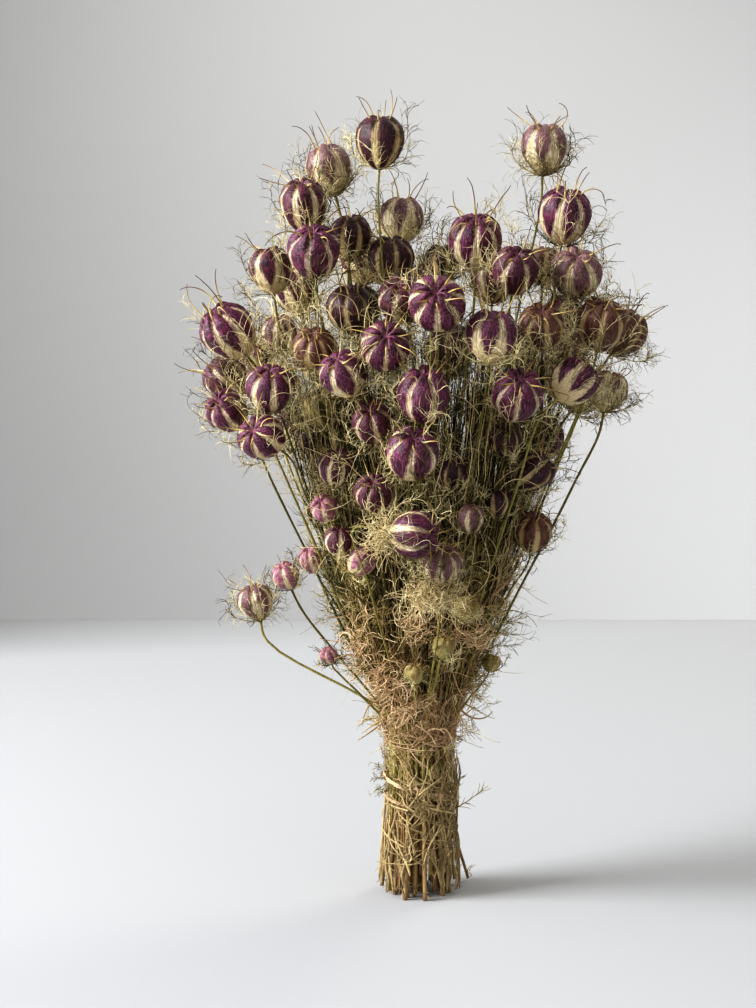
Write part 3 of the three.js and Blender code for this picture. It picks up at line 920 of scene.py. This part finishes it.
# An old stalk's and a fresh one's colours: brown at the foot, yellow-green at the waist, olive above.
OLD_STALK = (
    (0.0, (0.34, 0.19, 0.1)), (0.18, (0.4, 0.24, 0.11)), (0.3, (0.44, 0.4, 0.12)),
    (0.45, (0.42, 0.38, 0.11)), (0.7, (0.14, 0.125, 0.03)), (1.0, (0.12, 0.11, 0.028)),
)
FRESH_STALK = (
    (0.0, (0.46, 0.33, 0.16)), (0.18, (0.48, 0.37, 0.18)), (0.3, (0.66, 0.6, 0.22)),
    (0.45, (0.66, 0.6, 0.22)), (0.7, (0.38, 0.34, 0.1)), (1.0, (0.36, 0.33, 0.1)),
)


def stalk_material():
    """Stalks: ribbed, between old and fresh, with dark flecks."""
    s = Shader("stalk")
    fibre = s.noise(s.stretched(s.place(), (2200.0, 2200.0, 60.0)), 1.0, 3.0)
    patch = s.noise(s.stretched(s.place(), (70.0, 70.0, 25.0)), 1.0, 3.0)
    rise = s.maths("ADD", s.span(s.height(), 0.0, 0.2), s.swing(patch, 0.3))
    colour = s.layered(
        s.ramp(rise, *OLD_STALK),
        (s.attribute("tint"), (0.2, 0.0), (0.8, 1.0), s.ramp(rise, *FRESH_STALK)),
        (fibre, (0.38, 0.6), (0.6, 0.0), (0.1, 0.07, 0.022)),
    )
    s.bump(fibre, 0.6, 0.0004)
    return s.finish(colour, s.rough(fibre, 0.55, 0.8))


def raffia_material(name, pale, dark):
    """Raffia, straw and strips of leaf base: fibrous, from pale to dark, and darker at the end."""
    s = Shader(name)
    fibre = s.noise(s.stretched(s.place(), (500.0, 500.0, 2600.0)), 1.0, 3.0)
    colour = s.layered(
        pale,
        (s.attribute("tint"), (0.1, 0.0), (0.9, 0.6), dark),
        (s.noise(s.place(), 120.0, 3.0), (0.45, 0.0), (0.7, 0.5), dark),
        (fibre, (0.35, 0.5), (0.6, 0.0), shaded(dark, 0.4)),
        (s.attribute("along"), (0.9, 0.0), (1.0, 0.4), dark),
    )
    s.bump(fibre, 0.6, 0.0004)
    return s.finish(colour, s.rough(fibre, 0.6, 0.85))


def stage_material():
    s = Shader("studio_paper")
    grain = s.noise(s.place(), 3.0, 2.0)
    return s.finish(s.mix(grain, (0.44, 0.445, 0.455), (0.455, 0.46, 0.47)), 0.8)


PAPER = stage_material()

# --- studio ---

CAMERA_LENS, SENSOR_WIDTH = 90, 36
CAMERA_PLACE = (-0.02, -1.18, 0.354)
CAMERA_TILT = math.radians(82)
# The table top's far end, the radius that it rolls down with there, how far it drops, and the wall beyond.
TABLE_END, ROLL, DROP, WALL = 0.7, 0.06, -0.5, 2.2
BACKDROP_SIDE = 8.0
SHADE_LEFT, SHADE_RIGHT, SHADE_BACK, SHADE_TOP = -2.5, -0.53, 0.5, 2.6
# Each lamp's name, place, target, size in metres, power in watts and colour.
LAMPS = [
    ("window", (-2.2, -0.5, 1.3), (0, 0, 0.2), (1.25, 1.3), 103, (0.96, 0.975, 1.0)),
    ("overhead", (0.7, 0.9, 1.3), (0.35, 0.65, 0), (0.5, 0.5), 5.5, (1.0, 0.97, 0.85)),
    ("low_wall_lamp", (0.7, 1.2, 0.0), (0.25, 2.2, 0.0), (0.4, 0.6), 9, (1.0, 1.0, 1.0)),
    ("high_wall_lamp", (-0.05, 1.45, 0.85), (-0.1, 2.2, 0.1), (0.3, 0.3), 3.6, (1.0, 0.98, 0.94)),
]
SKY_COLOUR, SKY_STRENGTH = (1.0, 0.985, 0.97, 1), 0.52


def add_camera():
    camera = bpy.data.objects.new("camera", bpy.data.cameras.new("camera"))
    camera.data.lens = CAMERA_LENS
    camera.data.sensor_width = SENSOR_WIDTH
    camera.location = CAMERA_PLACE
    camera.rotation_euler = (CAMERA_TILT, 0, 0)
    SCENE.collection.objects.link(camera)
    bpy.context.scene.camera = camera


def add_stage(name, points, faces):
    mesh = bpy.data.meshes.new(name)
    mesh.from_pydata(points, [], faces)
    mesh.shade_smooth()
    mesh.materials.append(PAPER)
    card = bpy.data.objects.new(name, mesh)
    SCENE.collection.objects.link(card)
    return card


def add_backdrop():
    """A table top that rolls down at its far edge, a wall beyond it, and a card that shades its left end."""
    angles = np.linspace(0, math.pi / 2, 9)
    edge = [(TABLE_END + ROLL * math.sin(a), ROLL * math.cos(a) - ROLL) for a in angles]
    profile = [(-6.0, 0.0), (0.0, 0.0), *edge, (TABLE_END + ROLL, DROP), (WALL, DROP), (WALL, 3.0)]
    points = [(x, y, z) for y, z in profile for x in (-BACKDROP_SIDE, BACKDROP_SIDE)]
    strips = [(2 * k, 2 * k + 1, 2 * k + 3, 2 * k + 2) for k in range(len(profile) - 1)]
    add_stage("backdrop", points, strips)
    low = [(x, SHADE_BACK, 0.0) for x in (SHADE_LEFT, SHADE_RIGHT)]
    high = [(x, SHADE_BACK, SHADE_TOP) for x in (SHADE_RIGHT, SHADE_LEFT)]
    card = add_stage("shade_card", low + high, [(0, 1, 2, 3)])
    card.visible_camera = False


def add_lamp(name, place, target, size, power, colour):
    light = bpy.data.lights.new(name, "AREA")
    light.shape, light.size, light.size_y = "RECTANGLE", size[0], size[1]
    light.energy, light.color = power, colour
    lamp = bpy.data.objects.new(name, light)
    lamp.location = place
    lamp.rotation_euler = (Vector(target) - Vector(place)).to_track_quat("-Z", "Y").to_euler()
    lamp.visible_camera = False
    SCENE.collection.objects.link(lamp)


def add_light():
    for row in LAMPS:
        add_lamp(*row)
    world = bpy.data.worlds.new("studio")
    world.use_nodes = True
    sky = world.node_tree.nodes["Background"]
    sky.inputs["Color"].default_value = SKY_COLOUR
    sky.inputs["Strength"].default_value = SKY_STRENGTH
    SCENE.world = world
    SCENE.view_settings.view_transform = "Standard"
    SCENE.view_settings.look = "High Contrast"


# --- the bunch ---

CREAM, BASE = (0.92, 0.82, 0.62), (0.58, 0.45, 0.23)
# Each tone's dark, band, light, ridge and base colours, and its cover.
POD_COLOURS = {
    "vivid": ((0.03, 0.004, 0.013), (0.11, 0.013, 0.048), (0.46, 0.2, 0.3), CREAM, BASE, 0.95),
    "plum": ((0.022, 0.004, 0.009), (0.086, 0.011, 0.031), (0.4, 0.17, 0.21), CREAM, BASE, 0.95),
    # The dark tone is partly the darker pods' own colour and partly painted shade, for pods that sit in
    # shadow in the bunch: its band is darkened and its ridges take the base colour.
    "dark": ((0.014, 0.004, 0.007), (0.05, 0.011, 0.018), (0.24, 0.11, 0.11), BASE, BASE, 1.2),
    "pink": ((0.14, 0.03, 0.07), (0.4, 0.16, 0.22), (0.7, 0.46, 0.48), CREAM, BASE, 0.8),
    "pale": ((0.09, 0.035, 0.048), (0.19, 0.085, 0.1), (0.54, 0.4, 0.32), CREAM, (0.5, 0.4, 0.2), 0.55),
    "tan": ((0.06, 0.018, 0.018), (0.14, 0.055, 0.04), (0.34, 0.2, 0.11), (0.5, 0.37, 0.19), BASE, 0.9),
    "green": (
        (0.22, 0.15, 0.05), (0.34, 0.26, 0.1), (0.5, 0.42, 0.2), (0.54, 0.48, 0.22), (0.3, 0.28, 0.09), 0.8,
    ),
}
POD_SKINS = {tone: pod_material(f"pod_{tone}", *colours) for tone, colours in POD_COLOURS.items()}
HORN = horn_material()
STALK = stalk_material()
BRACT = bract_material("bract", (0.95, 0.84, 0.5), (0.13, 0.105, 0.028), (0.03, 0.02, 0.008))
# The leaves' higher colour, near black, is painted shade among the pods inside the bunch; their lower, straw
# and flank colours are their own.
LEAF_WITH_PAINTED_SHADE = thread_material(
    "leaf", (0.42, 0.29, 0.12), (0.032, 0.029, 0.007), (0.94, 0.82, 0.44), flank=(0.24, 0.22, 0.05)
)
# The core leaves' colours, low and high, are both near black: painted shade for the dense inside of the
# bunch.
CORE_LEAF_PAINTED_SHADE = thread_material("core_leaf_painted_shade", (0.07, 0.055, 0.015), (0.011, 0.009, 0.003), (0.27, 0.23, 0.06))
DRY_LEAF = thread_material(
    "dry_leaf", (0.7, 0.47, 0.26), (0.46, 0.36, 0.13), (0.95, 0.8, 0.48), flank=(0.26, 0.25, 0.055)
)
SHRED = raffia_material("shred", (0.74, 0.58, 0.31), (0.1, 0.066, 0.022))
BAND = raffia_material("leaf_band", (0.84, 0.62, 0.4), (0.32, 0.18, 0.09))
RAFFIA = raffia_material("raffia", (0.74, 0.55, 0.36), (0.4, 0.24, 0.12))
STRAW = raffia_material("straw", (0.94, 0.78, 0.42), (0.28, 0.14, 0.055))
PALE_STRAW = raffia_material("pale_straw", (0.95, 0.86, 0.56), (0.5, 0.34, 0.14))
RIBBON = raffia_material("ribbon", (0.93, 0.74, 0.48), (0.48, 0.28, 0.15))
SLOTS = {"pale": "pale_pods", "tan": "tan_pods"}
FULLNESS = {"pale": 1.5, "green": 1.2, "tan": 1.2}


def build_stem(stem, route):
    """One cut stem: its stalk and shoots, its pods with their horns and bracts, and its leaves."""
    rng = np.random.default_rng([11, stem])
    name = f"stem_{stem + 1:02d}"
    node = f"seed_stem_{stem + 1:02d}"
    rows = STEMS[stem]
    slot = SLOTS.get(rows[0][6], "plum_pods")
    stalk, leaves, horns, bracts = Piece(), Piece(), Piece(), Piece()
    path = add_stalk(stalk, rng, route, 0.7 if stem == STRAY_STEM else 1.0, 0.56)
    top = route[-2][2] - 6
    add_stalk_leaves(leaves, rng, path, 86, min(top, 250), 6)
    for k, row in enumerate(rows):
        if k:
            shoot = add_stalk(stalk, rng, shoot_route(route, row), 0.55, 0.42)
            add_stalk_leaves(leaves, rng, shoot, 90, 230, 12)
        pod = grow_pod(rng, row)
        skin = Piece()
        add_pod_skin(skin, pod, rng)
        skin.make(f"{name}_pod_{k + 1}", POD_SKINS[pod["tone"]], slot, node)
        add_horns(horns, pod, rng)
        add_bracts(bracts, pod, rng, FULLNESS.get(pod["tone"], 1.0) * (0.6 if pod["small"] else 1))
    stalk.make(f"{name}_stalk", STALK, slot, node)
    horns.make(f"{name}_horns", HORN, slot)
    bracts.make(f"{name}_bracts", BRACT, slot)
    if leaves.count:
        leaves.make(f"{name}_leaves", LEAF_WITH_PAINTED_SHADE, slot)


# Angles round the bundle, from its right to its back.
ALL_ROUND, FRONT, FRONT_TO_RIGHT = (-math.pi, math.pi), (-2.9, -0.2), (-2.0, 1.4)
NEST_THICK, WHORL_THICK = 0.15, 0.28
ROUTES = stalk_routes()
# Loose parts: their materials, and what grows in them: a part's name, a function, and its arguments after
# piece and rng.
TIE_MATERIALS = {"tie": RAFFIA, "leaf_band": BAND, "tie_cover": SHRED}
TIE_GROWTH = [
    ("tie", add_wrap, 52.5, 4.5, 1.1, 1.5, 17.3),
    ("tie", add_wrap, 45.0, 2.5, 1.05, 1.0, 17.2),
    ("leaf_band", add_shreds, 190, (72, 79), ALL_ROUND, 1.2, (12, 34), (0.12, 0.34), (-0.3, 0.8)),
    ("tie_cover", add_shreds, 150, (16, 58), FRONT_TO_RIGHT, 0.8, (8, 26), (0.15, 0.5), (0.4, 1.6)),
    ("tie_cover", add_shreds, 95, (38, 56), FRONT_TO_RIGHT, 1.0, (8, 22), (0.15, 0.6), (0.9, 1.9)),
]
DRY_MATERIALS = {
    **{f"dry_leaves_{k}": DRY_LEAF for k in (1, 2, 3, 4)},
    "waist_leaves": LEAF_WITH_PAINTED_SHADE, "core_leaves_painted_shade": CORE_LEAF_PAINTED_SHADE, "straw": STRAW, "ribbons": RIBBON, "dry_shreds": SHRED,
    "nests": PALE_STRAW, "leaf_tangles": PALE_STRAW, "leaf_whorls": RIBBON,
}
DRY_GROWTH = [
    ("dry_leaves_1", add_dry_leaves, 110, 80, 110, 22),
    ("dry_leaves_2", add_dry_leaves, 100, 100, 135, 26),
    ("dry_leaves_3", add_dry_leaves, 110, 125, 172, 28),
    ("dry_leaves_4", add_dry_leaves, 60, 16, 80, 13),
    ("waist_leaves", add_dry_leaves, 120, 48, 82, 13),
    # These core leaf stalks carry painted shade: a near-black mass inside the bunch.
    ("core_leaves_painted_shade", add_core, 800, (0.0, 0.92), (0.2, 0.5)),
    ("core_leaves_painted_shade", add_core, 220, (0.88, 1.0), (0.12, 0.28)),
    ("straw", add_core, 110, (0.85, 1.04), (0.18, 0.36), FRONT),
    ("straw", add_straw, 300, 80, 165, (0.16, 0.4), (14, 38), 2.2, 0.5),
    ("ribbons", add_straw, 280, 80, 150, (0.45, 1.05), (9, 24), 4.0, 0.22),
    ("dry_shreds", add_shreds, 42, (1, 14), ALL_ROUND, 0.14, (18, 46), (0.25, 0.85), (0.0, 0.6)),
    ("dry_shreds", add_shreds, 60, (8, 62), ALL_ROUND, 0.5, (10, 30), (0.15, 0.45), (0.0, 1.0)),
    *(("dry_shreds", add_frayed_end, route[0]) for route in ROUTES),
    ("nests", add_nest, (4, -70, 155), (12, 8, 5), 360, NEST_THICK),
    ("nests", add_nest, (-18, -80, 185), (6, 6, 9), 180, NEST_THICK),
    ("leaf_whorls", add_nest, (-15, -34, 112), (9, 5, 9), 90, WHORL_THICK),
    ("leaf_whorls", add_nest, (22, -36, 132), (7, 5, 6), 50, WHORL_THICK),
    ("leaf_whorls", add_nest, (-6, -28, 96), (10, 4, 7), 70, WHORL_THICK),
    ("leaf_whorls", add_nest, (-29, -30, 128), (8, 5, 10), 60, WHORL_THICK),
    ("leaf_whorls", add_nest, (0, -42, 138), (7, 4, 8), 50, WHORL_THICK),
    ("leaf_tangles", add_straw, 700, 130, 288, (0.15, 0.32), (12, 32), 3.4, 1.0),
]


def build_parts(seed, materials, growth, replaced=None):
    """Grows loose parts in turn and makes them. replaced names the CAD nodes that some of them stand for."""
    rng = np.random.default_rng(seed)
    pieces = {name: Piece() for name in materials}
    for name, add, *numbers in growth:
        add(pieces[name], rng, *numbers)
    for name, piece in pieces.items():
        piece.make(name, materials[name], "raffia", *(replaced or {}).get(name, ()))


add_camera()
add_backdrop()
add_light()
for stem, route in enumerate(ROUTES):
    build_stem(stem, route)
build_parts(5, TIE_MATERIALS, TIE_GROWTH, {"tie": ["raffia_tie"]})
build_parts(9, DRY_MATERIALS, DRY_GROWTH)
build_parts(3, {"stray_twig": STALK}, [("stray_twig", add_twig, ROUTES[STRAY_STEM][1])])
